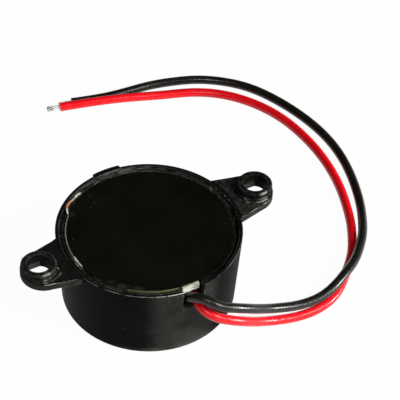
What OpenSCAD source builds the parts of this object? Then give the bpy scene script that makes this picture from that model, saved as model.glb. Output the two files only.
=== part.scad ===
// Piezo buzzer with two flying leads. A moulded cup holds a brass and ceramic sounder disc on an
// inner ledge, and a round circuit board closes its back. Two ears beside the rim take screws.
// The buzzer lies on its sound face, back up. Millimetres, Z up. The origin is the centre of the
// sound face, X runs along the ears, and the lead notch faces -Y.

/* [Housing] */
// Outside diameter at the rim
rim_d = 30; // [29.6:0.1:30.4]
// Outside diameter at the sound face
face_d = 28.4; // [28.2:0.1:28.8]
// Height from the sound face to the rim
body_h = 13.8; // [13.4:0.1:14.6]
// Thickness of the sound face
face_t = 1.5; // [1.2:0.1:1.8]
// Diameter of the sound hole
sound_hole_d = 4; // [3:0.5:5]
// Width of the lead notch
notch_w = 3.6; // [3.4:0.1:4]
// Depth of the lead notch below the rim
notch_h = 4; // [3.9:0.1:4.4]

/* [Ears] */
// Distance between the two screw holes
hole_pitch = 39; // [38.6:0.1:39.4]
// Diameter of a screw hole
hole_d = 3.8; // [3.7:0.1:4.1]
// Outside diameter of the boss around a hole
boss_d = 5.7; // [5.4:0.1:6]
// Height of a boss above the rim
boss_h = 1.4; // [1:0.1:2]
// Thickness of an ear
ear_t = 1.3; // [1.1:0.1:1.4]
// Radius of the ear's round end
ear_end_r = 3.8; // [3.6:0.05:3.9]
// Width of an ear where it leaves the body
ear_root_w = 10; // [9.6:0.1:10.6]

/* [Circuit board] */
// Diameter of the board
board_d = 26.8; // [26.6:0.1:27]
// Thickness of the board
board_t = 1.1; // [1:0.1:1.2]
// Depth of the board's outer face below the rim
board_drop = 0.3; // [0.2:0.05:0.4]

/* [Sounder] */
// Diameter of the brass diaphragm
disc_d = 25; // [24.4:0.1:25.2]
// Thickness of the brass diaphragm
disc_t = 0.2; // [0.15:0.05:0.3]
// Diameter of the ceramic disc
ceramic_d = 18; // [17:0.5:19]
// Thickness of the ceramic disc
ceramic_t = 0.22; // [0.18:0.02:0.3]

/* [Leads] */
// Diameter over a lead's insulation
lead_d = 1.6; // [1.4:0.1:1.6]
// Diameter of a lead's tinned strands
strand_d = 0.8; // [0.6:0.1:0.9]
// Length of the tinned far ends
strip_len = 2.4; // [2:0.2:4]

/* [Hidden] */
$fn = 96;
rim_r = rim_d / 2;
face_r = face_d / 2;
face_edge_r = 0.4;
rim_edge_r = 0.15;

// Bores of the cup, from the sound face up
chamber_r = 11.3;
bore_r = 12.9;
board_seat_r = 13.75;
land_r = 14.4;
ledge_z = 4;
board_z = body_h - board_drop - board_t;
board_top = board_z + board_t;
step_z = body_h - 0.5;
notch_z = body_h - notch_h;

// Ears, bosses and the rib opposite the notch
ear_z = body_h - ear_t;
ear_root_x = 13.4;
hole_x = hole_pitch / 2;
ear_end_x = hole_x - 0.9;
hole_flat_y = 1.65;
boss_pad_r = 3.2;
boss_pad_x = hole_x - 0.4;
boss_pad_h = 0.25;
boss_pad_flat = 2.7;
rib_w = 4.8;
rib_proud = 0.3;
rib_rise = 0.15;
rib_h = 2.2;

// Board outline: a snapped-off stub in the notch and a sliver torn from the edge
board_r = board_d / 2;
stub_w = 2.9;
stub_y = 13.85;
// Sliver: angle, inner radius and width at places along it; it hangs on by its last end
sliver = [[115.5, 13.72, 0.3], [117.5, 13.8, 0.36], [120, 13.84, 0.32], [122, 13.87, 0.2],
          [124, 13.93, 0.18], [126, 13.99, 0.24], [128, 14.04, 0.3], [130, 14.02, 0.3],
          [132, 13.9, 0.32], [134, 13.72, 0.32], [136, 13.5, 0.3], [138.5, 13.2, 0.24]];
sliver_top = board_top + 0.12;

// Everything on the board hangs from the copper pads under it
pad_t = 0.05;
pad_z = board_z - pad_t;
overlap = 0.01;
strand_z = pad_z - strand_d / 2 - 0.1;

// Sounder stack on the inner ledge
disc_r = disc_d / 2;
ceramic_z = ledge_z + disc_t;
electrode_z = ceramic_z + ceramic_t;
electrode_t = 0.03;
electrode_r = ceramic_d / 2 - 0.6;
tongue_w = 3;
tongue_x = 4.4;
electrode_gap = 0.4;
electrode_top = electrode_z + electrode_t;

// Places on the board: [x, y]
inductor_at = [3.4, 3.6];
transistor_at = [-4.6, -4.6];
diode_at = [4.8, -7.4];
capacitor_at = [-8.6, 1.2];
resistors_at = [[-4.6, 0.6], [-4.6, 3.4], [-4.6, 6.2]];
red_pad = [1.3, -9.6];
black_pad = [-1.3, -9.6];

// Wires from the board to the sounder: [place on the board, place on the sounder]
wire_d = 0.5;
drive_run = [[0.2, -4.2], [-4.4, -3.4]];
feedback_run = [[8.2, -2.4], [6.4, 0]];
ground_run = [[-9.2, -4.6], [-10.4, -1.6]];

// Sheet-metal legs, and the drum inductor over its terminals
leg_t = 0.12;
inductor_d = 7.4;
inductor_h = 4.6;
neck_d = 3.6;
flange_t = 0.8;
terminal_t = 0.15;
drum_z = pad_z - terminal_t - inductor_h;

// Chip parts: [length, width, height, length of an end cap]
resistor = [2, 1.25, 0.5, 0.35];
capacitor = [2, 1.25, 0.9, 0.4];

// Lead routes, from inside the housing to the far end
red_route = [
    [0.95, -11.75, 11.1], [0.85, -13.15, 10.9], [0.65, -14.4, 10.7], [0.6, -15.4, 10.55],
    [0.95, -16.85, 10.1], [2, -18.05, 9.5], [2.95, -18.5, 8.95], [3.85, -18.7, 8.45],
    [4.9, -18.85, 7.85], [6.5, -18.85, 6.85], [7.45, -18.7, 6.15], [8.6, -18.45, 5.25],
    [10.45, -18.1, 4], [12.7, -17.9, 2.8], [15.05, -17.9, 1.95], [17.55, -17.9, 1.25],
    [20.9, -17.85, 0.9], [23.6, -17.4, 0.9], [25.7, -16.55, 0.85], [28.2, -14.85, 0.95],
    [30.7, -12.55, 0.9], [33.25, -9.9, 0.8], [35.55, -6.5, 0.9], [36.95, -3.9, 0.95],
    [38.6, -0.1, 0.8], [40, 4.05, 0.8], [41.1, 9, 0.8], [41.6, 14.5, 0.8], [41.4, 19.5, 0.8],
    [40.5, 24.6, 0.8], [38.7, 29.2, 0.8], [36, 33.3, 0.8], [32.6, 36.5, 0.8], [28.8, 38.6, 0.8],
    [24.6, 40.1, 0.8], [20.5, 41.3, 1.1], [16.9, 42.25, 1.4], [13.4, 43.15, 1.55],
    [9.8, 44.05, 1.6], [6.1, 44.95, 1.6]
];
black_route = [
    [-0.9, -11.75, 11.1], [-0.9, -13.1, 11.25], [-0.65, -14.3, 11.7], [0.15, -15.55, 12.35],
    [1.1, -16.75, 12.4], [1.85, -17.55, 12.05], [2.65, -18.05, 11.6], [3.55, -18.35, 11.1],
    [5.05, -18.5, 10.35], [6.15, -18.55, 9.75], [7.95, -18.45, 8.65], [9.1, -18.3, 7.85],
    [9.9, -18.15, 7.3], [12.2, -17.75, 5.8], [14.7, -17.6, 4.6], [17.65, -17.55, 3.55],
    [20.5, -17.4, 2.95], [22.4, -17.15, 2.75], [26, -16.1, 2.9], [28.65, -14.75, 2.95],
    [31.7, -12.75, 2.5], [34.45, -10.25, 2.1], [36.95, -7.4, 1.85], [38.95, -4.35, 1.35],
    [40.75, -1.1, 0.85], [42.4, 2.9, 0.8], [43.9, 7.8, 0.8], [44.8, 13, 0.8], [44.8, 18.5, 0.8],
    [43.8, 24.2, 0.8], [41.8, 30.2, 0.8], [39.1, 35.1, 0.8], [35.8, 38.5, 0.8], [32, 41, 0.8],
    [28, 42.5, 0.8], [23.8, 43.5, 0.8], [19.9, 43.9, 0.8], [16, 44.3, 0.8], [12.3, 45.05, 0.8],
    [8.9, 45.95, 0.8]
];

// ---- Shared shapes ----

function unit(v) = v / norm(v);
function last(list) = list[len(list) - 1];

// Points of an arc, for a rounded corner in a profile
function arc(centre, r, from, to, steps) =
    [for (i = [0 : steps]) let (a = from + (to - from) * i / steps) centre + r * [cos(a), sin(a)]];

// Direction of a route at point i
function heading(route, i) =
    unit(route[min(i + 1, len(route) - 1)] - route[max(i - 1, 0)]);

// Ring of points around point i of a route; side is any direction that the route never takes
function ring(route, i, r, sides, side) =
    let (t = heading(route, i), u = unit(cross(side, t)), v = cross(t, u))
    [for (k = [0 : sides - 1]) route[i] + r * (cos(360 * k / sides) * u + sin(360 * k / sides) * v)];

// Round tube along a route, closed at both ends
module tube(route, d, sides = 8, side = [0, 0, 1]) {
    rings = len(route);
    points = [for (i = [0 : rings - 1]) each ring(route, i, d / 2, sides, side)];
    skin = [for (i = [0 : rings - 2], k = [0 : sides - 1])
        let (a = i * sides + k, b = i * sides + (k + 1) % sides)
        each [[a, a + sides, b + sides], [a, b + sides, b]]];
    near_end = [[for (k = [0 : sides - 1]) k]];
    far_end = [[for (k = [sides - 1 : -1 : 0]) (rings - 1) * sides + k]];
    polyhedron(points, concat(skin, near_end, far_end));
}

// Box on the underside of the pads, centred at a place
module hung_box(size, drop = 0) {
    translate([-size[0] / 2, -size[1] / 2, pad_z - drop - size[2]]) cube(size);
}

// Ring-shaped fillet of solder around a wire end, wide side on a surface that faces up
module solder_cone(foot_r, top_r, h, hole_r) {
    difference() {
        cylinder(h = h, r1 = foot_r, r2 = top_r, $fn = 32);
        translate([0, 0, -overlap]) cylinder(h = h + 2 * overlap, r = hole_r, $fn = 32);
    }
}

// Wedge of solder: its upright side at x = 0 and its flat side on the pad
module solder_wedge(reach, width, drop) {
    translate([0, width / 2, pad_z]) rotate([90, 0, 0]) linear_extrude(width)
        polygon([[0, 0], [reach, 0], [0, -drop]]);
}

// The same shape at both ends of X
module both_ends() {
    children();
    rotate([0, 0, 180]) children();
}

// ---- Housing ----

// Outside of the cup: a slight taper, with a rounded face edge and rim edge
module cup_outside() {
    taper = atan((rim_r - face_r) / body_h);
    profile = concat(
        [[0, 0]],
        arc([face_r - face_edge_r, face_edge_r], face_edge_r, -90, -taper, 6),
        arc([rim_r - rim_edge_r, body_h - rim_edge_r], rim_edge_r, -taper, 90, 4),
        [[0, body_h]]
    );
    rotate_extrude($fn = 128) polygon(profile);
}

// Bores of the cup and its sound hole
module cup_inside() {
    translate([0, 0, face_t]) cylinder(h = body_h, r = chamber_r);
    translate([0, 0, ledge_z]) cylinder(h = body_h, r = bore_r);
    translate([0, 0, board_z]) cylinder(h = body_h, r = board_seat_r);
    translate([0, 0, step_z]) cylinder(h = body_h, r = land_r);
    translate([0, 0, -1]) cylinder(h = face_t + 2, d = sound_hole_d);
}

// Flat ear: straight sides that close in to a round end, and run just inside its tangents
module ear() {
    side_r = ear_end_r - 0.02;
    root = [ear_root_x - ear_end_x, ear_root_w / 2];
    turn = atan2(root[1], root[0]) - acos(side_r / norm(root));
    touch = side_r * [cos(turn), sin(turn)];
    translate([ear_end_x, 0, ear_z]) linear_extrude(ear_t) {
        circle(r = ear_end_r);
        polygon([root, touch, [0, 0], [touch[0], -touch[1]], [root[0], -root[1]]]);
    }
}

// Boss on an ear, standing on a low pad with a flat towards the body
module boss() {
    edge = 0.15;
    translate([hole_x, 0, body_h - overlap]) cylinder(h = boss_h + overlap - edge, d = boss_d);
    translate([hole_x, 0, body_h + boss_h - edge]) cylinder(h = edge, d1 = boss_d, d2 = boss_d - 2 * edge);
    translate([boss_pad_x, 0, body_h - overlap]) intersection() {
        cylinder(h = boss_pad_h + overlap, r = boss_pad_r);
        translate([hole_x - boss_pad_flat - boss_pad_x, -5, -1]) cube([10, 10, 3]);
    }
}

// Screw hole: round through the boss, with one flat side through the ear
module screw_hole() {
    translate([hole_x, 0, 0]) {
        translate([0, 0, body_h]) cylinder(h = boss_h + 1, d = hole_d);
        intersection() {
            translate([0, 0, ear_z - 1]) cylinder(h = ear_t + 1 + overlap, d = hole_d);
            translate([-5, -5, ear_z - 1]) cube([10, 5 + hole_flat_y, ear_t + 1 + overlap]);
        }
    }
}

// Short thick place on the rim, opposite the notch
module rim_rib() {
    intersection() {
        translate([0, 0, body_h - rib_h]) cylinder(h = rib_h + rib_rise, r = rim_r + rib_proud);
        translate([-rib_w / 2, bore_r, body_h - rib_h]) cube([rib_w, 5, rib_h + rib_rise]);
    }
}

module housing() {
    color("#1b1b1a") difference() {
        union() {
            cup_outside();
            rim_rib();
            both_ends() {
                ear();
                boss();
            }
        }
        cup_inside();
        translate([-notch_w / 2, -rim_r - 2, notch_z]) cube([notch_w, rim_r - bore_r + 3, notch_h + 1]);
        screw_hole();
        mirror([1, 0, 0]) screw_hole();
    }
}

// ---- Circuit board ----

// Sliver of the board's edge, torn loose in the middle and bowed outwards
module edge_sliver() {
    count = len(sliver);
    outer = [for (s = sliver) (s[1] + s[2]) * [cos(s[0]), sin(s[0])]];
    inner = [for (i = [count - 1 : -1 : 0]) sliver[i][1] * [cos(sliver[i][0]), sin(sliver[i][0])]];
    translate([0, 0, step_z + 0.05]) linear_extrude(sliver_top - step_z - 0.05)
        polygon(concat(outer, inner));
}

module circuit_board() {
    color("#0c0d0a") {
        translate([0, 0, board_z]) cylinder(h = board_t, r = board_r);
        translate([-stub_w / 2, -stub_y, board_z]) cube([stub_w, 2, board_t]);
        edge_sliver();
    }
}

module pad(at, size) {
    translate([at[0], at[1], 0]) translate([-size[0] / 2, -size[1] / 2, pad_z]) cube([size[0], size[1], pad_t]);
}

module round_pad(at, d) {
    translate([at[0], at[1], pad_z]) cylinder(h = pad_t, d = d, $fn = 32);
}

module board_pads() {
    color("#c98a4b") {
        for (at = resistors_at) translate([at[0], at[1], 0]) both_ends() pad([1.1, 0], [1.1, 1.3]);
        translate([capacitor_at[0], capacitor_at[1], 0]) both_ends() pad([1.1, 0], [1.1, 1.3]);
        translate([diode_at[0], diode_at[1], 0]) both_ends() pad([1.9, 0], [1.2, 1.2]);
        translate([transistor_at[0], transistor_at[1], 0]) {
            pad([-0.95, -1.15], [0.8, 1]);
            pad([0.95, -1.15], [0.8, 1]);
            pad([0, 1.15], [0.8, 1]);
        }
        translate([inductor_at[0], inductor_at[1], 0]) both_ends() pad([2.6, 0], [2.8, 2.6]);
        for (at = [red_pad, black_pad]) pad(at, [1.8, 2.2]);
        for (run = [drive_run, feedback_run, ground_run]) round_pad(run[0], 1.6);
    }
}

// Bead between the board's edge and the cup, open at the notch
module board_adhesive() {
    gap = 9;
    color("#191a17") rotate([0, 0, gap - 90]) rotate_extrude(angle = 360 - 2 * gap, $fn = 128)
        polygon([[board_r, board_z], [board_seat_r, board_z], [board_seat_r, step_z - 0.1],
                 [board_r, step_z - 0.2]]);
}

// Solder of one lead: a mound on the pad, around the strands
module lead_solder(at) {
    difference() {
        translate([at[0] - 0.7, at[1] - 0.8, pad_z - strand_d - 0.3]) cube([1.4, 1.6, strand_d + 0.3]);
        translate([at[0], at[1] - 1, strand_z]) rotate([-90, 0, 0]) cylinder(h = 2.5, d = strand_d, $fn = 32);
    }
}

module solder_joints() {
    color("#c9cbc9") {
        for (at = resistors_at) translate([at[0], at[1], 0])
            both_ends() translate([resistor[0] / 2, 0, 0]) solder_wedge(0.5, 1.1, 0.35);
        translate([capacitor_at[0], capacitor_at[1], 0])
            both_ends() translate([capacitor[0] / 2, 0, 0]) solder_wedge(0.5, 1.1, 0.5);
        translate([diode_at[0], diode_at[1], 0])
            both_ends() translate([2, 0, 0]) solder_wedge(0.4, 0.8, leg_t);
        translate([transistor_at[0], transistor_at[1], 0])
            for (at = [[0, 90], [-0.95, -90], [0.95, -90]])
                translate([at[0], 0, 0]) rotate([0, 0, at[1]]) translate([1.3, 0, 0]) solder_wedge(0.3, 0.6, leg_t);
        translate([inductor_at[0], inductor_at[1], 0])
            both_ends() translate([3.5, 0, 0]) solder_wedge(0.4, 2, terminal_t);
        for (at = [red_pad, black_pad]) lead_solder(at);
        for (run = [drive_run, feedback_run, ground_run])
            translate([run[0][0], run[0][1], pad_z]) mirror([0, 0, 1]) solder_cone(0.7, 0.4, 0.7, wire_d / 2 + 0.01);
    }
}

// ---- Sounder ----

module diaphragm() {
    color("#c9a227") translate([0, 0, ledge_z]) cylinder(h = disc_t, d = disc_d);
}

module piezo_ceramic() {
    color("#e8e2cf") translate([0, 0, ceramic_z]) cylinder(h = ceramic_t, d = ceramic_d);
}

// Outline of the feedback tongue, grown by a margin; it runs out past the ceramic's edge
module tongue_outline(grow) {
    translate([tongue_x, 0]) {
        circle(d = tongue_w + 2 * grow);
        translate([0, -tongue_w / 2 - grow]) square([12, tongue_w + 2 * grow]);
    }
}

module main_electrode() {
    color("#d8d8d4") translate([0, 0, electrode_z]) linear_extrude(electrode_t) difference() {
        circle(r = electrode_r);
        tongue_outline(electrode_gap);
    }
}

module feedback_electrode() {
    color("#d8d8d4") translate([0, 0, electrode_z]) linear_extrude(electrode_t) intersection() {
        circle(r = electrode_r);
        tongue_outline(0);
    }
}

// Bead that holds the diaphragm's edge to the ledge and the bore
module diaphragm_adhesive() {
    color("#dcdcd6") rotate_extrude()
        polygon([[disc_r, ledge_z], [bore_r, ledge_z], [bore_r, ledge_z + 0.8],
                 [disc_r - 0.4, ceramic_z], [disc_r, ceramic_z]]);
}

module piezo_solder() {
    color("#c9cbc9") {
        for (run = [drive_run, feedback_run])
            translate([run[1][0], run[1][1], electrode_top]) solder_cone(0.8, 0.35, 0.5, wire_d / 2 + 0.01);
        translate([ground_run[1][0], ground_run[1][1], ceramic_z]) solder_cone(0.8, 0.35, 0.5, wire_d / 2 + 0.01);
    }
}

// Wire that drops from a board pad, leans across and ends upright on the sounder
module sounder_wire(run, foot_z) {
    drop = pad_z - foot_z;
    route = [
        for (s = [0, 0.1, 0.25, 0.4, 0.5, 0.6, 0.75, 0.9, 1])
            let (lean = s <= 0.1 ? 0 : s >= 0.9 ? 1 : (1 - cos(180 * (s - 0.1) / 0.8)) / 2)
            [run[0][0] + (run[1][0] - run[0][0]) * lean, run[0][1] + (run[1][1] - run[0][1]) * lean,
             pad_z - drop * s]
    ];
    tube(route, wire_d, side = [1, 0, 0.2]);
}

module drive_wire() { color("#d9d9d2") sounder_wire(drive_run, electrode_top); }
module feedback_wire() { color("#2a5fb0") sounder_wire(feedback_run, electrode_top); }
module ground_wire() { color("#26262a") sounder_wire(ground_run, ceramic_z); }

// ---- Parts on the board ----

// Bent leg: flat out of the body's side, down to the pad and out as a foot
module bent_leg(width, from_y, mid_drop, foot) {
    t = leg_t;
    translate([-width / 2, 0, pad_z]) rotate([90, 0, 90]) linear_extrude(width)
        polygon([[from_y, -mid_drop], [from_y + 0.3, -mid_drop], [from_y + 0.3, -t], [from_y + 0.3 + foot, -t],
                 [from_y + 0.3 + foot, 0], [from_y + 0.3 - t, 0], [from_y + 0.3 - t, t - mid_drop],
                 [from_y, t - mid_drop]]);
}

module transistor_body() {
    color("#202022") translate([transistor_at[0], transistor_at[1], 0]) hung_box([2.9, 1.3, 1], 0.1);
}

module transistor_legs() {
    color("#c4c6c8") translate([transistor_at[0], transistor_at[1], 0]) {
        bent_leg(0.4, 0.65, 0.6, 0.35);
        for (x = [-0.95, 0.95]) translate([x, 0, 0]) rotate([0, 0, 180]) bent_leg(0.4, 0.65, 0.6, 0.35);
    }
}

// Middle and ends of a chip part
module chip_body(chip) {
    hung_box([chip[0] - 2 * chip[3], chip[1], chip[2]]);
}

module chip_caps(chip) {
    both_ends() translate([chip[0] / 2 - chip[3] / 2, 0, 0]) hung_box([chip[3], chip[1], chip[2]]);
}

module resistor_bodies() {
    color("#24242a") for (at = resistors_at) translate([at[0], at[1], 0]) chip_body(resistor);
}

module resistor_caps() {
    color("#c4c6c8") for (at = resistors_at) translate([at[0], at[1], 0]) chip_caps(resistor);
}

module capacitor_body() {
    color("#b08a5c") translate([capacitor_at[0], capacitor_at[1], 0]) chip_body(capacitor);
}

module capacitor_caps() {
    color("#c4c6c8") translate([capacitor_at[0], capacitor_at[1], 0]) chip_caps(capacitor);
}

module diode_body() {
    color("#202022") translate([diode_at[0], diode_at[1], 0]) hung_box([2.7, 1.6, 1.1], 0.05);
}

module diode_legs() {
    color("#c4c6c8") translate([diode_at[0], diode_at[1], 0])
        for (turn = [90, -90]) rotate([0, 0, turn]) bent_leg(0.6, 1.35, 0.6, 0.35);
}

// Ferrite drum: two flanges on a neck
module inductor_core() {
    color("#3c3c3e") translate([inductor_at[0], inductor_at[1], drum_z]) {
        cylinder(h = flange_t, d = inductor_d);
        cylinder(h = inductor_h, d = neck_d);
        translate([0, 0, inductor_h - flange_t]) cylinder(h = flange_t, d = inductor_d);
    }
}

module inductor_winding() {
    color("#a5552a") translate([inductor_at[0], inductor_at[1], drum_z + flange_t])
        difference() {
            cylinder(h = inductor_h - 2 * flange_t, d = inductor_d - 0.8);
            translate([0, 0, -1]) cylinder(h = inductor_h, d = neck_d);
        }
}

module inductor_terminals() {
    color("#c4c6c8") translate([inductor_at[0], inductor_at[1], 0])
        both_ends() translate([2.6, 0, 0]) hung_box([1.8, 2.4, terminal_t]);
}

// ---- Leads ----

// Tinned strands past the far end of a lead
module lead_tip(route) {
    end = last(route);
    tube([end, end + strip_len * heading(route, len(route) - 1)], strand_d);
}

// Stripped near end of a lead, lying along its pad
module lead_root(route, at) {
    tube([route[0], route[0] - 0.3 * heading(route, 0), [at[0], at[1] - 1, strand_z],
          [at[0], at[1] + 0.9, strand_z]], strand_d);
}

module red_lead() { color("#e02028") tube(red_route, lead_d); }
module red_lead_root() { color("#c9cbc9") lead_root(red_route, red_pad); }
module red_lead_tip() { color("#c9cbc9") lead_tip(red_route); }
module black_lead() { color("#2b2b26") tube(black_route, lead_d); }
module black_lead_root() { color("#c9cbc9") lead_root(black_route, black_pad); }
module black_lead_tip() { color("#c9cbc9") lead_tip(black_route); }

housing();
circuit_board();
board_pads();
board_adhesive();
solder_joints();
diaphragm();
piezo_ceramic();
main_electrode();
feedback_electrode();
diaphragm_adhesive();
piezo_solder();
drive_wire();
feedback_wire();
ground_wire();
transistor_body();
transistor_legs();
resistor_bodies();
resistor_caps();
diode_body();
diode_legs();
capacitor_body();
capacitor_caps();
inductor_core();
inductor_winding();
inductor_terminals();
red_lead();
red_lead_root();
red_lead_tip();
black_lead();
black_lead_root();
black_lead_tip();
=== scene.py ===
"""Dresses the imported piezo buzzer: moulded cup, sealed board, sounder stack and two limp leads."""

import math

import bpy
from mathutils import Matrix, Vector


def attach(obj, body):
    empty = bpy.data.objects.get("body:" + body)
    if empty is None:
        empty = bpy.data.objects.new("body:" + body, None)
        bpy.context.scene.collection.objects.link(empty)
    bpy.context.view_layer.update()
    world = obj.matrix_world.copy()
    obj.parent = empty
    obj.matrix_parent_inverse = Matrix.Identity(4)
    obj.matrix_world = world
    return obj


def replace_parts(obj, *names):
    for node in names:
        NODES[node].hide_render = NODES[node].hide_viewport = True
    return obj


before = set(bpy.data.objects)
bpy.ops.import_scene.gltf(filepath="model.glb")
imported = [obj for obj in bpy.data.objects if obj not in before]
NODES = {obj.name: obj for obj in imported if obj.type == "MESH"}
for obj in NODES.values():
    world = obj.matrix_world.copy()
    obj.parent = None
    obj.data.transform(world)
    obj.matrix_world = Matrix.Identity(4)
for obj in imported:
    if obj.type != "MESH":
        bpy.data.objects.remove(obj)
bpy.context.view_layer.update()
bpy.ops.object.select_all(action="DESELECT")

MM = 0.001

# Sizes of the leads, in metres
LEAD_D = 1.6 * MM
STRAND_D = 0.8 * MM
STRIP_LENGTH = 2.4 * MM

# Places on the part that its finishes follow, in millimetres
RIM_TOP = 13.8
BOARD_TOP = 13.5
HOLE_X = 19.5


# ---- Camera ----


def place_camera(location, aim, roll, lens):
    """Camera at a location, looking at a point, turned about its own axis."""
    lens_data = bpy.data.cameras.new("camera")
    lens_data.lens = lens
    lens_data.sensor_width = 36
    lens_data.clip_start = 0.01
    camera = bpy.data.objects.new("camera", lens_data)
    bpy.context.scene.collection.objects.link(camera)
    facing = (Vector(aim) - Vector(location)).to_track_quat("-Z", "Y").to_matrix()
    turned = facing @ Matrix.Rotation(roll, 3, "Z")
    camera.matrix_world = Matrix.Translation(location) @ turned.to_4x4()
    bpy.context.scene.camera = camera


place_camera(
    location=(-0.1035, -0.1882, 0.2309), aim=(0.01757, 0.01392, 0), roll=0.0405, lens=172.3
)


# ---- Leads ----

RED_ROUTE = [
    (0.95, -11.75, 11.1), (0.85, -13.15, 10.9), (0.65, -14.4, 10.7), (0.6, -15.4, 10.55),
    (0.95, -16.85, 10.1), (2, -18.05, 9.5), (2.95, -18.5, 8.95), (3.85, -18.7, 8.45),
    (4.9, -18.85, 7.85), (6.5, -18.85, 6.85), (7.45, -18.7, 6.15), (8.6, -18.45, 5.25),
    (10.45, -18.1, 4), (12.7, -17.9, 2.8), (15.05, -17.9, 1.95), (17.55, -17.9, 1.25),
    (20.9, -17.85, 0.9), (23.6, -17.4, 0.9), (25.7, -16.55, 0.85), (28.2, -14.85, 0.95),
    (30.7, -12.55, 0.9), (33.25, -9.9, 0.8), (35.55, -6.5, 0.9), (36.95, -3.9, 0.95), (38.6, -0.1, 0.8),
    (40, 4.05, 0.8), (41.1, 9, 0.8), (41.6, 14.5, 0.8), (41.4, 19.5, 0.8), (40.5, 24.6, 0.8),
    (38.7, 29.2, 0.8), (36, 33.3, 0.8), (32.6, 36.5, 0.8), (28.8, 38.6, 0.8), (24.6, 40.1, 0.8),
    (20.5, 41.3, 1.1), (16.9, 42.25, 1.4), (13.4, 43.15, 1.55), (9.8, 44.05, 1.6), (6.1, 44.95, 1.6),
]
BLACK_ROUTE = [
    (-0.9, -11.75, 11.1), (-0.9, -13.1, 11.25), (-0.65, -14.3, 11.7), (0.15, -15.55, 12.35),
    (1.1, -16.75, 12.4), (1.85, -17.55, 12.05), (2.65, -18.05, 11.6), (3.55, -18.35, 11.1),
    (5.05, -18.5, 10.35), (6.15, -18.55, 9.75), (7.95, -18.45, 8.65), (9.1, -18.3, 7.85),
    (9.9, -18.15, 7.3), (12.2, -17.75, 5.8), (14.7, -17.6, 4.6), (17.65, -17.55, 3.55),
    (20.5, -17.4, 2.95), (22.4, -17.15, 2.75), (26, -16.1, 2.9), (28.65, -14.75, 2.95),
    (31.7, -12.75, 2.5), (34.45, -10.25, 2.1), (36.95, -7.4, 1.85), (38.95, -4.35, 1.35),
    (40.75, -1.1, 0.85), (42.4, 2.9, 0.8), (43.9, 7.8, 0.8), (44.8, 13, 0.8), (44.8, 18.5, 0.8),
    (43.8, 24.2, 0.8), (41.8, 30.2, 0.8), (39.1, 35.1, 0.8), (35.8, 38.5, 0.8), (32, 41, 0.8),
    (28, 42.5, 0.8), (23.8, 43.5, 0.8), (19.9, 43.9, 0.8), (16, 44.3, 0.8), (12.3, 45.05, 0.8),
    (8.9, 45.95, 0.8),
]


def metres(route):
    """A route in millimetres as points in metres."""
    return [Vector(point) * MM for point in route]


def flowing_tangents(points):
    """Tangents of the natural cubic spline through some points, each per unit of chord length."""
    chords = [(b - a).length for a, b in zip(points, points[1:])]
    slopes = [(b - a) / chord for a, b, chord in zip(points, points[1:], chords)]
    rows = [(0, 2, 1, 3 * slopes[0])]
    for before, after, left, right in zip(chords, chords[1:], slopes, slopes[1:]):
        rows.append((after, 2 * (before + after), before, 3 * (after * left + before * right)))
    rows.append((1, 2, 0, 3 * slopes[-1]))
    sweep = []
    for low, middle, high, value in rows:
        if sweep:
            middle -= low * sweep[-1][0]
            value = value - low * sweep[-1][1]
        sweep.append((high / middle, value / middle))
    tangents = [sweep[-1][1]]
    for share, value in reversed(sweep[:-1]):
        tangents.append(value - share * tangents[-1])
    return tangents[::-1], [chords[0]] + chords + [chords[-1]]


def thread(name, paths, radius):
    """Round curve with one strand through the points of each path, closed at both ends."""
    curve = bpy.data.curves.new(name, "CURVE")
    curve.dimensions = "3D"
    curve.bevel_depth = radius
    curve.bevel_resolution = 5
    curve.resolution_u = 8
    curve.use_fill_caps = True
    for points in paths:
        tangents, chords = flowing_tangents(points)
        spline = curve.splines.new("BEZIER")
        spline.bezier_points.add(len(points) - 1)
        for i, (knot, point) in enumerate(zip(spline.bezier_points, points)):
            knot.handle_left_type = knot.handle_right_type = "FREE"
            knot.co = point
            knot.handle_left = point - tangents[i] * chords[i] / 3
            knot.handle_right = point + tangents[i] * chords[i + 1] / 3
    piece = bpy.data.objects.new(name, curve)
    bpy.context.scene.collection.objects.link(piece)
    return piece


def path_length(points):
    """Length of the straight runs from point to point."""
    return sum((b - a).length for a, b in zip(points, points[1:]))


red_path = metres(RED_ROUTE)
black_path = metres(BLACK_ROUTE)
red_sleeve = thread("red_sleeve", [red_path], LEAD_D / 2)
black_sleeve = thread("black_sleeve", [black_path], LEAD_D / 2)


# ---- Making materials ----


class Field:
    """A socket whose value varies over a surface, ready for arithmetic."""

    def __init__(self, finish, socket):
        self.finish = finish
        self.socket = socket

    def __add__(self, other):
        return self.finish.maths("ADD", self, other)

    def __sub__(self, other):
        return self.finish.maths("SUBTRACT", self, other)

    def __rsub__(self, other):
        return self.finish.maths("SUBTRACT", other, self)

    def __mul__(self, other):
        return self.finish.maths("MULTIPLY", self, other)

    def __truediv__(self, other):
        return self.finish.maths("DIVIDE", self, other)

    __radd__ = __add__
    __rmul__ = __mul__

    def other(self, output):
        """Another output of the same node."""
        return Field(self.finish, self.socket.node.outputs[output])

    def rise(self, low, high):
        """0 below low, 1 above high and smooth between them; low above high falls instead."""
        if low > high:
            return 1 - self.rise(high, low)
        inputs = {"Value": self, "From Min": low, "From Max": high}
        return self.finish.add("MapRange", {"interpolation_type": "SMOOTHSTEP"}, inputs)


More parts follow.
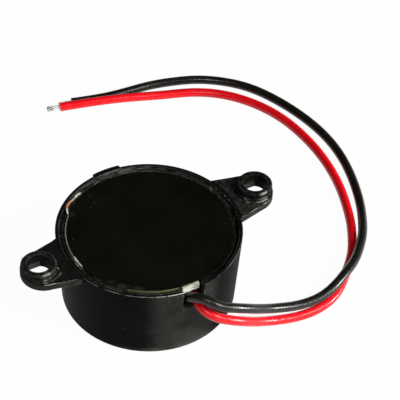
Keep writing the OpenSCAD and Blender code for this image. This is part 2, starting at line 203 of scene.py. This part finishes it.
class Finish:
    """A material with one Principled shader, whose colour is laid on coat by coat.

    Its places are in millimetres. The scales of its patterns are in repeats per metre.
    """

    unit = MM

    def __init__(self, name, colour=None, **constants):
        self.material = bpy.data.materials.new(name)
        self.material.use_nodes = True
        self.tree = self.material.node_tree
        self.shader = self.tree.nodes["Principled BSDF"]
        self.output = self.tree.nodes["Material Output"]
        for socket, value in constants.items():
            self.feed(self.shader.inputs[socket.replace("_", " ")], value)
        self.place = self.add("TexCoord", out="Object")
        self.colour = colour

    def feed(self, socket, value):
        """Links a field to a socket, or sets the socket to a plain value."""
        if isinstance(value, Field):
            self.tree.links.new(value.socket, socket)
        elif value is not None:
            if hasattr(socket.default_value, "__len__") and len(socket.default_value) == 4:
                value = (*value[:3], 1)
            socket.default_value = value

    def add(self, kind, settings=None, inputs=None, out=0):
        """Adds one node, with its settings set first, and gives one of its outputs."""
        node = self.tree.nodes.new("ShaderNode" + kind)
        for key, value in (settings or {}).items():
            if key == "stops":
                elements = node.color_ramp.elements
                while len(elements) < len(value):
                    elements.new(0.5)
                for element, (at, colour) in zip(elements, value):
                    element.position = at
                    element.color = (*colour, 1)
            else:
                setattr(node, key, value)
        for key, value in (inputs or {}).items():
            self.feed(node.inputs[key], value)
        return Field(self, node.outputs[out])

    def maths(self, operation, *terms):
        return self.add("Math", {"operation": operation}, dict(enumerate(terms)))

    def noise(self, scale, detail=3, roughness=0.55, place=None):
        inputs = {
            "Vector": place or self.place, "Scale": scale, "Detail": detail, "Roughness": roughness,
        }
        return self.add("TexNoise", None, inputs)

    def cells(self, scale):
        """Distance from the middle of the nearest of many scattered cells."""
        return self.add("TexVoronoi", None, {"Vector": self.place, "Scale": scale})

    def stretched(self, scale):
        """Place for patterns drawn out along an axis."""
        return self.add("Mapping", None, {"Vector": self.place, "Scale": scale})

    def axis(self, letter):
        """Place along an axis."""
        split = self.add("SeparateXYZ", None, {0: self.place}, out="X")
        return split.other(letter) / self.unit

    def reach(self, centre=(0, 0)):
        """Distance from an upright axis."""
        x, y = self.axis("X") - centre[0], self.axis("Y") - centre[1]
        return self.maths("SQRT", x * x + y * y)

    def around(self, turns, out, up):
        """Place for patterns that run round the upright axis: angle, distance from it and height."""
        angle = self.maths("ARCTAN2", self.axis("Y"), self.axis("X"))
        inputs = {"X": angle * turns, "Y": self.reach() * out, "Z": self.axis("Z") * up}
        return self.add("CombineXYZ", None, inputs)

    def facing(self, azimuth, half, soft, centre=(0, 0)):
        """1 within half a width in degrees of an azimuth about an upright axis, 0 past its soft edge."""
        x, y = math.cos(math.radians(azimuth)), math.sin(math.radians(azimuth))
        across, along = self.axis("X") - centre[0], self.axis("Y") - centre[1]
        turned = (across * x + along * y) / self.reach(centre)
        return turned.rise(math.cos(math.radians(half + soft)), math.cos(math.radians(half)))

    def dots(self, places, size):
        """Small round specks about some places."""
        return sum(self.reach(place).rise(1.25 * size, 0.75 * size) for place in places)

    def blend(self, amount, first, second):
        """Colour first where amount is 0, second where it is 1."""
        settings = {"data_type": "RGBA", "blend_type": "MIX"}
        return self.add("Mix", settings, {0: amount, 6: first, 7: second}, out=2)

    def lay(self, amount, colour):
        """Lays a colour over the coats so far, covering them where amount is 1."""
        self.colour = self.blend(amount, self.colour, colour)

    def ramp(self, amount, stops):
        return self.add("ValToRGB", {"stops": stops}, {0: amount})

    def bump(self, height, depth, under=None):
        """Relief of a given depth in millimetres, over another relief if there is one."""
        inputs = {"Height": height, "Distance": depth * MM, "Strength": 1, "Normal": under}
        return self.add("Bump", None, inputs)

    def wear(self, roughness, relief, metallic=None):
        """Feeds the shader with what varies and gives the finished material."""
        self.feed(self.shader.inputs["Base Color"], self.colour)
        self.feed(self.shader.inputs["Roughness"], roughness)
        self.feed(self.shader.inputs["Normal"], relief)
        self.feed(self.shader.inputs["Metallic"], metallic)
        return self.material


class Room(Finish):
    """The studio's surroundings, whose place is the direction looked in."""

    unit = 1

    def __init__(self, world):
        self.tree = world.node_tree
        self.place = self.add("TexCoord", out="Generated")


# ---- Finishes ----


def streak_and_light_wall(f):
    """Level streaks beside and below the notch kept to its lit side, scuffs, a painted sheen and painted
    shade by direction round the wall, and a painted reflection of the floor on the strip that it rests on.
    """
    height = f.axis("Z")
    wall = f.reach().rise(13.9, 14.05) * height.rise(RIM_TOP - 0.05, RIM_TOP - 0.2)
    streak = f.noise(1, 4, 0.6, f.around(4, 0.3, 1.7))
    patch = f.noise(210, 3)
    # Streaks laid pale only low down on the side facing the lamps: partly real streaks, partly painted
    # light
    lit_streaks = streak.rise(0.42, 0.74) * patch.rise(0.36, 0.62) * f.facing(270, 18, 22)
    f.lay(lit_streaks * height.rise(11.5, 4) * wall * 0.4, (0.075, 0.075, 0.068))
    # Painted reflection of the white floor along the bottom edge in front
    painted_floor_reflection = height.rise(1.5, 0.5) * f.facing(255, 22, 18) * patch.rise(0.3, 0.55)
    f.lay(painted_floor_reflection * 0.55, (0.12, 0.12, 0.105))
    # Fine scuffs laid pale in a narrow band high on the lit wall: partly real marks, partly painted
    # highlight
    scuff_and_highlight = f.noise(1300, 4, 0.7).rise(0.53, 0.7) * f.facing(259, 5, 6) * wall
    f.lay(scuff_and_highlight * height.rise(10, 12.8) * 0.5, (0.12, 0.12, 0.105))

    # Painted sheen where the wall faces the key lamp
    sheen = f.facing(265, 7, 20) * patch.rise(0.1, 0.6) * wall
    f.lay(sheen * 0.6, (0.045, 0.045, 0.04))
    # Painted shade: the wall laid near black where it turns away from the lamps, on the left and far right
    smooth = 0.55 * f.facing(212, 16, 20) + 0.85 * f.facing(314, 18, 14)
    f.lay(smooth * wall, (0.001, 0.001, 0.001))
    nick = f.cells(1300).rise(0.2, 0.12) * f.facing(284.5, 2.2, 0.6) * wall
    f.lay(nick * height.rise(11.2, 11.6) * 0.8, (0.3, 0.3, 0.27))


def film_groove(f):
    """Pale film in the groove beside the board, thickest round the far side, and specks inside the rim."""
    height, reach = f.axis("Z"), f.reach()
    film = f.noise(1, 4, 0.65, f.around(9, 4.2, 3)).rise(0.4, 0.72)
    beside_board = reach.rise(13.5, 13.7)
    groove = beside_board * reach.rise(14.5, 14.4) * height.rise(13.1, 13.25) * f.facing(62, 62, 14)
    far_side = 0.4 + 0.6 * f.facing(84, 12, 12)
    f.lay(film * groove * far_side * 0.75, (0.17, 0.17, 0.155))
    inner = beside_board * reach.rise(14.6, 14.5) * height.rise(13, 13.1) * f.facing(2, 18, 6)
    f.lay(inner * f.cells(1500).rise(0.3, 0.2) * film, (0.4, 0.4, 0.37))


def wear_and_light_ears_and_edges(f):
    """Ears with their sides painted lighter, streaky bosses with a painted highlight in front, and edges
    pale with wear and with painted highlights; gives the amount of wear and highlight on the edges.
    """
    height, reach = f.axis("Z"), f.reach()
    ear = (f.maths("SIGN", f.axis("X")) * HOLE_X, 0)
    about = f.reach(ear)
    right = f.axis("X").rise(-1, 1)
    outside = reach.rise(15.05, 15.2)
    drawn = f.noise(1, 3, 0.6, f.stretched((500, 500, 4200)))
    mottled = f.noise(1500, 4, 0.65)

    # Ears: their sides painted lighter than their tops, their bosses with a painted highlight in front,
    # their tops, lighter on the right ear, and the flat side of each hole
    # Painted light: the ears' sides laid lighter than their tops, as if lit, over drawn streaks
    side = outside * height.rise(RIM_TOP - 0.02, RIM_TOP - 0.1) * about.rise(2.1, 2.2)
    f.lay(side * drawn.rise(0.3, 0.65), (0.042, 0.042, 0.037))
    boss = about.rise(3.2, 3) * about.rise(1.93, 1.99) * height.rise(RIM_TOP + 0.05, RIM_TOP + 0.2)
    f.lay(boss * mottled.rise(0.45, 0.75), (0.035, 0.035, 0.031))
    # Painted highlight: the bosses laid pale where they face the lamps, at the front of each ear
    front = f.facing(272, 4, 13, ear)
    f.lay(boss * front * drawn.rise(0.4, 0.7) * 0.45, (0.15, 0.15, 0.135))
    top = outside * about.rise(3.2, 3.4) * height.rise(RIM_TOP - 0.02, RIM_TOP)
    f.lay(top * (0.12 + 0.88 * right) * mottled.rise(0.3, 0.65), (0.034, 0.034, 0.031))
    flat = about.rise(1.96, 1.92) * f.axis("Y").rise(1.6, 1.64)
    f.lay(flat * height.rise(RIM_TOP - 0.05, RIM_TOP - 0.15), (0.06, 0.06, 0.055))

    # Painted highlight on the side of the pad round the right boss, where it faces the lamps
    past_boss = about.rise(2.9, 2.95)
    pad_highlight = right * (f.facing(207, 14, 6, ear) + 0.5 * f.facing(262, 12, 8, ear))
    pad_side_highlight = pad_highlight * past_boss * about.rise(3.8, 3.75)
    pad_side_highlight = pad_side_highlight * height.rise(RIM_TOP + 0.02, RIM_TOP + 0.05)
    pad_side_highlight = pad_side_highlight * height.rise(RIM_TOP + 0.24, RIM_TOP + 0.21)
    f.lay(pad_side_highlight * drawn.rise(0.3, 0.5), (0.3, 0.3, 0.275))

    # Edges pale with wear, broken along their length, with painted highlights laid over them where they
    # face the lamps: at the ears' fronts and flanks, round the pad and on the rim above the notch
    edge = f.add("Attribute", {"attribute_name": "edge"}, out="Fac")
    broken = f.noise(700, 3, 0.6).rise(0.36, 0.6)
    near_rim = height.rise(RIM_TOP - 0.4, RIM_TOP - 0.2)
    pad = past_boss * height.rise(RIM_TOP + 0.35, RIM_TOP + 0.3)
    pad = pad * height.rise(RIM_TOP + 0.1, RIM_TOP + 0.15)
    # Painted highlight on the edges of the bosses' flanks, in the directions the lamps catch
    flank_highlight = right * f.facing(225, 18, 12, ear) + (1 - right) * f.facing(312, 20, 10, ear)
    flank_highlight = flank_highlight * height.rise(RIM_TOP + 0.04, RIM_TOP) * about.rise(3.4, 3.6)
    ear_wear_and_highlight = (1 - pad) * (0.1 + 1.1 * front + 0.9 * flank_highlight) + pad * (0.04 + 1.5 * pad_highlight)
    rim_wear_and_highlight = 0.1 + 0.34 * f.facing(268, 52, 18) + 0.35 * f.facing(230, 32, 6) * near_rim
    wear_and_highlight = edge * broken * (outside * ear_wear_and_highlight + (1 - outside) * rim_wear_and_highlight)
    f.lay(wear_and_highlight, (0.24, 0.24, 0.215))
    glint = edge * f.facing(256, 6, 5) * near_rim * f.noise(1500, 2).rise(0.4, 0.6)
    f.lay(glint * 0.7, (0.6, 0.6, 0.56))
    return wear_and_highlight


def black_moulding():
    """Satin black plastic from a finely eroded mould, rubbed pale on its edges and scuffed on the wall,
    with painted highlights, sheen, shade and floor reflection laid on the wall, ears and edges.
    """
    f = Finish("black_moulding", (0.0042, 0.0042, 0.0038), Specular_IOR_Level=0.017)
    cloud = f.noise(180, 4)
    blotch = f.noise(900, 3, 0.6)
    f.lay(cloud.rise(0.3, 0.75), (0.0085, 0.0085, 0.0078))
    f.lay(blotch.rise(0.52, 0.8) * 0.45, (0.018, 0.018, 0.016))
    streak_and_light_wall(f)
    film_groove(f)
    wear_and_highlight = wear_and_light_ears_and_edges(f)
    dust = f.cells(1300).rise(0.13, 0.05) * f.noise(420, 1).rise(0.6, 0.72)
    f.lay(dust * 0.5, (0.17, 0.17, 0.15))
    grit = f.dots([(-16.77, -1.22), (-11.3, -8.6)], 0.13) + 0.25 * f.dots([(-12.96, 5.42)], 0.1)
    f.lay(grit * f.axis("Z").rise(13, 13.2), (0.5, 0.5, 0.47))
    relief = f.bump(f.noise(5200, 2), 0.02, f.bump(blotch, 0.03))
    return f.wear(0.42 + cloud * 0.14 + dust * 0.3 - wear_and_highlight * 0.1, relief)


def solder_mask():
    """Dark mask over pale laminate, bare on part of the edge, on the stub's broken face and the sliver."""
    f = Finish("solder_mask", (0.0022, 0.0025, 0.0012), Specular_IOR_Level=0.45)
    fine = f.noise(3800, 2)
    broad = f.noise(140, 3)
    wobble = f.noise(600, 3)
    fibre = f.noise(1, 3, 0.6, f.stretched((900, 5200, 5200)))
    fibrous = fibre.rise(0.3, 0.7)
    reach, y = f.reach(), f.axis("Y")
    f.lay(broad.rise(0.3, 0.7), (0.004, 0.0044, 0.0019))
    specks = f.cells(1300).rise(0.12, 0.04) * f.noise(300, 1).rise(0.6, 0.7)
    f.lay(specks * 0.35, (0.12, 0.12, 0.07))
    smear = f.noise(420, 4, 0.65).rise(0.55, 0.75) * reach.rise(11.6, 13.2) * f.facing(125, 80, 30)
    f.lay(smear * 0.3, (0.05, 0.055, 0.04))
    grime = f.noise(800, 3).rise(0.35, 0.6) * reach.rise(12.3, 13) * f.facing(225, 8, 7)
    f.lay(grime * 0.6, (0.04, 0.036, 0.026))
    f.lay(f.dots([(-11.68, 3.74), (-5.03, 9.45), (-5.88, 8.85)], 0.09), (0.06, 0.06, 0.05))
    mask = f.colour

    # Bare rim of the board: thin on the left, whitish where it is chipped, olive along the front
    chipped = f.facing(184.5, 3.5, 3)
    front = f.facing(246, 16, 4)
    width = 0.17 * f.facing(163, 26, 3) + 0.08 * chipped + 0.06 * front
    bare = (reach + wobble * 0.1 + width).rise(13.44, 13.48) * f.facing(200, 60, 3)
    pale = f.blend(fibrous, (0.1, 0.115, 0.07), (0.21, 0.225, 0.155))
    pale = f.blend(front, pale, f.blend(fibrous, (0.075, 0.085, 0.025), (0.17, 0.18, 0.075)))
    f.lay(bare, f.blend(chipped * wobble.rise(0.35, 0.55), pale, (0.6, 0.6, 0.52)))

    # Stub in the notch: masked on top, snapped and fibrous in front, olive where the mask frays
    stub = y.rise(-13.15, -13.25) * f.maths("ABSOLUTE", f.axis("X")).rise(1.7, 1.5)
    snapped = f.ramp(
        f.noise(1, 4, 0.7, f.stretched((2200, 2200, 5200))),
        [(0.25, (0.24, 0.27, 0.2)), (0.5, (0.56, 0.6, 0.5)), (0.78, (0.85, 0.87, 0.8))],
    )
    ragged = y + (fine - 0.5) * 0.3
    top = ragged.rise(-13.54, -13.46)
    frayed = f.blend(ragged.rise(-13.25, -13.4) * top, mask, (0.13, 0.14, 0.05))
    f.lay(stub, f.blend(top, snapped, frayed))

    # Torn sliver: cream fibre with bare copper along its bulge, and painted shade on the side towards the
    # board, laid dark red for the copper in shadow
    beside = reach.rise(13.42, 13.46) * f.facing(127, 12, 1)
    torn = f.blend(fibrous, (0.5, 0.49, 0.35), (0.8, 0.78, 0.64))
    copper = f.blend(fine.rise(0.3, 0.7), (0.5, 0.17, 0.07), (0.78, 0.34, 0.2))
    torn = f.blend(f.facing(129, 3.6, 1.4), torn, copper)
    torn = f.blend(f.facing(122.5, 1.2, 1.2) * 0.8, torn, (0.4, 0.38, 0.32))
    # Painted shade: the sliver's side towards the board laid dark red, copper in shadow
    side = f.blend(f.facing(131, 4, 3), (0.05, 0.055, 0.035), (0.16, 0.012, 0.008))
    sliver = f.axis("Z").rise(BOARD_TOP + 0.01, BOARD_TOP + 0.03)
    f.lay(beside, f.blend(sliver, side, torn))

    rough = (bare + stub + beside).rise(0.2, 0.8)
    relief = f.bump(fibre * rough, 0.06, f.bump(fine, 0.008))
    return f.wear(0.32 + rough * 0.3 + broad * 0.1, relief)


def sealant():
    """Uneven dark sealant, filmed with pale residue beside the bare parts of the board."""
    f = Finish("sealant", (0.004, 0.004, 0.0035), Specular_IOR_Level=0.3)
    lumps = f.noise(900, 4, 0.65)
    film = f.noise(1700, 3)
    reach = f.reach()
    f.lay(lumps.rise(0.42, 0.62), (0.02, 0.02, 0.017))
    haze = film.rise(0.46, 0.68) * (0.25 + 0.75 * f.facing(80, 28, 25)) * f.facing(60, 75, 20)
    f.lay(haze * 0.8, (0.2, 0.2, 0.185))
    lip = (reach + film * 0.1).rise(13.56, 13.5) * (f.facing(162, 24, 4) + 0.4 * f.facing(222, 34, 4))
    f.lay(lip * 0.85, (0.17, 0.18, 0.12))
    crust = lumps.rise(0.4, 0.55) * f.facing(184.5, 4, 3) * (reach + film * 0.2).rise(13.84, 13.7)
    f.lay(crust * 0.85, (0.4, 0.4, 0.33))
    return f.wear(0.4 + lumps * 0.3, f.bump(lumps, 0.12, f.bump(film, 0.04)))


def insulation(name, deep, light, bloom):
    """Smooth limp PVC, slightly uneven along its length, mottled where it shines, with painted shade
    inside the notch.
    """
    f = Finish(name, deep, Specular_IOR_Level=0.36)
    slow = f.noise(260, 2)
    fine = f.noise(3200, 3)
    cloudy = f.noise(1500, 4, 0.7)
    f.lay(slow.rise(0.3, 0.7), light)
    f.lay(cloudy.rise(0.5, 0.75) * 0.35, bloom)
    # Painted shade: the leads laid nearly black where they run inside the notch
    f.lay(f.reach().rise(15.4, 14.6) * 0.94, (0.002, 0.001, 0.001))
    relief = f.bump(cloudy, 0.025, f.bump(fine, 0.02, f.bump(slow, 0.03)))
    return f.wear(0.27 + (cloudy - 0.5) * 0.4, relief)


def metal(name, dark, bright, roughness, grain=(1500, 1500, 1500)):
    """Bare metal with a fine grain and a little tarnish."""
    f = Finish(name, dark, Metallic=1.0)
    brushed = f.noise(1, 3, 0.6, f.stretched(grain))
    f.lay(f.noise(500, 3).rise(0.35, 0.7), bright)
    return f.wear(roughness + brushed * 0.18, f.bump(brushed, 0.006))


def bare_strands():
    """Tinned strands, nearly white where they leave the sleeve and greyer towards the end."""
    f = Finish("tinned_strands", Specular_IOR_Level=0.5)
    end = f.axis("X").rise(5.4, 4.2)
    streaks = f.noise(4200, 3)
    f.colour = f.blend(streaks.rise(0.3, 0.7), (0.8, 0.8, 0.78), (0.98, 0.98, 0.97))
    f.lay(end, f.blend(streaks.rise(0.3, 0.7), (0.22, 0.22, 0.21), (0.6, 0.6, 0.58)))
    return f.wear(0.4 + streaks * 0.2, f.bump(streaks, 0.01), 0.35 + end * 0.4)


def dull(name, dark, light, roughness=0.55):
    """Plain dull body with fine mottling."""
    f = Finish(name, dark, Specular_IOR_Level=0.5)
    mottle = f.noise(900, 4, 0.6)
    fine = f.noise(3600, 2)
    f.lay(mottle.rise(0.3, 0.7), light)
    return f.wear(roughness + fine * 0.15, f.bump(fine, 0.01, f.bump(mottle, 0.01)))


MOULDING = black_moulding()
MASK = solder_mask()
SEALANT = sealant()
RED_PVC = insulation("red_pvc", (0.74, 0.005, 0.01), (0.82, 0.006, 0.012), (0.84, 0.03, 0.04))
BLACK_PVC = insulation(
    "black_pvc", (0.0065, 0.0065, 0.005), (0.011, 0.011, 0.0085), (0.03, 0.03, 0.024)
)
TIN = metal("tinned_copper", (0.5, 0.5, 0.49), (0.78, 0.78, 0.76), 0.25)
STRANDS = bare_strands()
SOLDER = metal("bright_solder", (0.55, 0.55, 0.55), (0.83, 0.83, 0.82), 0.18)
COPPER = metal("copper_foil", (0.5, 0.2, 0.09), (0.85, 0.42, 0.22), 0.25)
BRASS = metal("rolled_brass", (0.55, 0.36, 0.1), (0.82, 0.62, 0.26), 0.25, (300, 6000, 6000))
SILVER = metal("printed_silver", (0.66, 0.66, 0.63), (0.86, 0.86, 0.83), 0.4)
ENAMEL = metal("enamelled_wire", (0.3, 0.06, 0.02), (0.62, 0.2, 0.07), 0.2)
CERAMIC = dull("fired_ceramic", (0.62, 0.57, 0.45), (0.8, 0.76, 0.64))
FERRITE = dull("sintered_ferrite", (0.03, 0.03, 0.033), (0.075, 0.075, 0.08))
EPOXY = dull("moulded_epoxy", (0.01, 0.01, 0.011), (0.028, 0.028, 0.03))
GLAZE = dull("resistor_glaze", (0.012, 0.012, 0.016), (0.03, 0.03, 0.036), 0.25)
TAN_CERAMIC = dull("capacitor_ceramic", (0.34, 0.2, 0.1), (0.5, 0.33, 0.18))
SILICONE = dull("white_silicone", (0.6, 0.6, 0.56), (0.8, 0.8, 0.77), 0.35)
WHITE_WIRE = dull("white_wire_skin", (0.62, 0.62, 0.58), (0.78, 0.78, 0.74), 0.35)
BLUE_WIRE = dull("blue_wire_skin", (0.02, 0.08, 0.3), (0.04, 0.14, 0.45), 0.35)
BLACK_WIRE = dull("black_wire_skin", (0.01, 0.01, 0.011), (0.022, 0.022, 0.024), 0.35)


# ---- Making pieces ----


def coat(piece, material):
    """Gives a piece one material."""
    piece.data.materials.clear()
    piece.data.materials.append(material)
    return piece


def only(piece):
    """Leaves one object selected and active."""
    bpy.ops.object.select_all(action="DESELECT")
    piece.select_set(True)
    bpy.context.view_layer.objects.active = piece


def apply_modifier(piece, kind, **settings):
    """Adds a modifier to a piece and applies it."""
    only(piece)
    modifier = piece.modifiers.new(kind.lower(), kind)
    for key, value in settings.items():
        setattr(modifier, key, value)
    bpy.ops.object.modifier_apply(modifier=modifier.name)


def shade(piece):
    """Shades a piece smooth across its gentle edges."""
    only(piece)
    bpy.ops.object.shade_smooth_by_angle(angle=math.radians(40))
    bpy.ops.object.select_all(action="DESELECT")


def mark_edges(piece):
    """Marks in a face attribute the rounded edges, both the bevelled ones and those of the mould."""
    marks = piece.data.attributes.new("edge", "FLOAT", "FACE")
    for mark, face in zip(marks.data, piece.data.polygons):
        slanting = 0.15 < abs(face.normal.z) < 0.97
        mark.value = 1.0 if face.material_index == 1 or slanting else 0.0
        face.material_index = 0


def eased_copy(node, name, edge):
    """Copy of a CAD solid with its sharp edges rounded, standing for it."""
    piece = NODES[node].copy()
    piece.data = NODES[node].data.copy()
    piece.name = piece.data.name = name

    # The copy is a new piece, so it drops the properties and the parent of the CAD node
    for key in list(piece.keys()):
        del piece[key]
    piece.parent = None
    bpy.context.scene.collection.objects.link(piece)

    # Merge its loose triangles into whole faces
    only(piece)
    bpy.ops.object.mode_set(mode="EDIT")
    bpy.ops.mesh.select_all(action="SELECT")
    bpy.ops.mesh.remove_doubles(threshold=0.006 * MM)
    bpy.ops.mesh.dissolve_limited(angle_limit=math.radians(1))
    bpy.ops.object.mode_set(mode="OBJECT")

    # A second, empty material slot tells the bevel's faces from the rest
    piece.data.materials.clear()
    piece.data.materials.append(None)
    piece.data.materials.append(None)
    apply_modifier(
        piece, "BEVEL", width=edge, segments=2, limit_method="ANGLE",
        angle_limit=math.radians(35), use_clamp_overlap=False, material=1,
    )
    mark_edges(piece)
    shade(piece)
    apply_modifier(piece, "WEIGHTED_NORMAL", keep_sharp=True)
    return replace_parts(piece, node)


def finish_piece(piece, material):
    """Gives a new piece its material and the body that it rides on."""
    coat(piece, material)
    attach(piece, "root")
    return piece


# ---- Housing ----

finish_piece(eased_copy("housing", "housing_shell", 0.1 * MM), MOULDING)


# ---- Bare ends: tinned strands, frayed apart a little at the end ----

# Each strand's share of the stripped length, the steps along it and its twist in degrees
STRAND_SHARES = (1, 0.93, 0.99, 0.88, 0.96, 0.84, 0.98)
STRAND_STEPS = 7
STRAND_TWIST = 75

# How far the strands start back inside the sleeve
IN_SLEEVE = 0.2 * MM


def strand_bundle(name, path, spread, node):
    """Strands from inside the end of a sleeve, one in the middle and six round it, fanning out.

    Each strand is a third of the bundle across.
    """
    along = (path[-1] - path[-2]).normalized()
    side = along.cross(Vector((0, 0, 1))).normalized()
    lift = side.cross(along)
    strands = []
    for i, share in enumerate(STRAND_SHARES):
        ring = 0 if i == 0 else STRAND_D / 3
        long = STRIP_LENGTH * share + IN_SLEEVE
        strand = []
        for step in range(STRAND_STEPS + 1):
            t = step / STRAND_STEPS
            angle = math.radians(60 * i + STRAND_TWIST * t)
            out = ring * (1 + spread * t * t)
            place = path[-1] + along * (t * long - IN_SLEEVE)
            strand.append(place + side * (out * math.cos(angle)) + lift * (ring * math.sin(angle)))
        strands.append(strand)
    bundle = finish_piece(thread(name, strands, STRAND_D / 6), STRANDS)
    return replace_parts(bundle, node)


red_strands = strand_bundle("red_strands", red_path, 0.9, "red_lead_tip")
black_strands = strand_bundle("black_strands", black_path, 0.3, "black_lead_tip")


# ---- Leads: finish ----

for sleeve, node, path, material, slot, strands in (
    (red_sleeve, "red_lead", red_path, RED_PVC, "red_insulation", red_strands),
    (black_sleeve, "black_lead", black_path, BLACK_PVC, "black_insulation", black_strands),
):
    finish_piece(sleeve, material)
    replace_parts(sleeve, node)
    round(path_length(path), 4)


# ---- CAD solids that keep their shape ----

for node, material in {
    "circuit_board": MASK,
    "board_adhesive": SEALANT,
    "board_pads": COPPER,
    "solder_joints": SOLDER,
    "diaphragm": BRASS,
    "piezo_ceramic": CERAMIC,
    "main_electrode": SILVER,
    "feedback_electrode": SILVER,
    "diaphragm_adhesive": SILICONE,
    "piezo_solder": SOLDER,
    "drive_wire": WHITE_WIRE,
    "feedback_wire": BLUE_WIRE,
    "ground_wire": BLACK_WIRE,
    "transistor_body": EPOXY,
    "transistor_legs": TIN,
    "resistor_bodies": GLAZE,
    "resistor_caps": TIN,
    "diode_body": EPOXY,
    "diode_legs": TIN,
    "capacitor_body": TAN_CERAMIC,
    "capacitor_caps": TIN,
    "inductor_core": FERRITE,
    "inductor_winding": ENAMEL,
    "inductor_terminals": TIN,
    "red_lead_root": TIN,
    "black_lead_root": TIN,
}.items():
    coat(NODES[node], material)


# ---- Floor, surroundings and lamps ----

# How far the floor lies below the part, and how white it looks
FLOOR_DROP = 0.02 * MM
FLOOR_GLOW = 0.97

# How bright the room is near the horizon and above it
ROOM_LEVEL = 0.05
ROOM_ABOVE = 0.0015

LAMP_AIM = Vector((0.01, 0.005, 0.005))


def shown_white(finish, mirrored=1):
    """1 for what the camera sees, and for what gloss and clear pieces show of it."""
    ray = finish.add("LightPath", out="Is Camera Ray")
    return ray + (ray.other("Is Glossy Ray") + ray.other("Is Transmission Ray")) * mirrored


def floor_and_sky():
    """White floor that keeps a faint shadow, in a room that is dim near the horizon and dark above."""
    bpy.ops.mesh.primitive_plane_add(size=4, location=(0, 0, -FLOOR_DROP))
    floor = bpy.context.active_object
    floor.name = "floor"
    paper = Finish(
        "white_paper", Base_Color=(0.93, 0.93, 0.93), Roughness=0.9, Specular_IOR_Level=0.2
    )
    glow = paper.add("Emission", None, {"Color": (1, 1, 1), "Strength": 1.0})
    sheet = Field(paper, paper.shader.outputs[0])
    mixed = paper.add("MixShader", None, {0: shown_white(paper) * FLOOR_GLOW, 1: sheet, 2: glow})
    paper.feed(paper.output.inputs[0], mixed)
    coat(floor, paper.material)

    world = bpy.data.worlds.new("studio")
    world.use_nodes = True
    bpy.context.scene.world = world
    room = Room(world)
    height = room.maths("ABSOLUTE", room.axis("Z"))
    level = ROOM_ABOVE + (ROOM_LEVEL - ROOM_ABOVE) * height.rise(0.34, 0.16)
    seen = shown_white(room, height.rise(0.12, 0.04))
    background = world.node_tree.nodes["Background"]
    room.feed(background.inputs["Color"], (1, 1, 1))
    room.feed(background.inputs["Strength"], level + seen * (1 - level))


def lamp(name, azimuth, elevation, distance, size, level):
    """Square soft lamp facing the part; level is how bright it makes white that faces it."""
    data = bpy.data.lights.new(name, "AREA")
    data.shape = "SQUARE"
    data.size = size
    data.energy = level * (math.pi * distance) ** 2
    piece = bpy.data.objects.new(name, data)
    bpy.context.scene.collection.objects.link(piece)
    around, up = math.radians(azimuth), math.radians(elevation)
    away = Vector((math.cos(up) * math.cos(around), math.cos(up) * math.sin(around), math.sin(up)))
    facing = away.to_track_quat("Z", "Y").to_matrix().to_4x4()
    piece.matrix_world = Matrix.Translation(LAMP_AIM + away * distance) @ facing


floor_and_sky()
lamp("key_lamp", 302, 38, 1.2, 0.45, 0.8)
lamp("side_lamp", 329, 9, 1.2, 0.26, 1.1)
lamp("front_lamp", 236, 50, 1.1, 0.12, 0.25)

bpy.context.scene.view_settings.view_transform = "Standard"
bpy.ops.object.select_all(action="DESELECT")
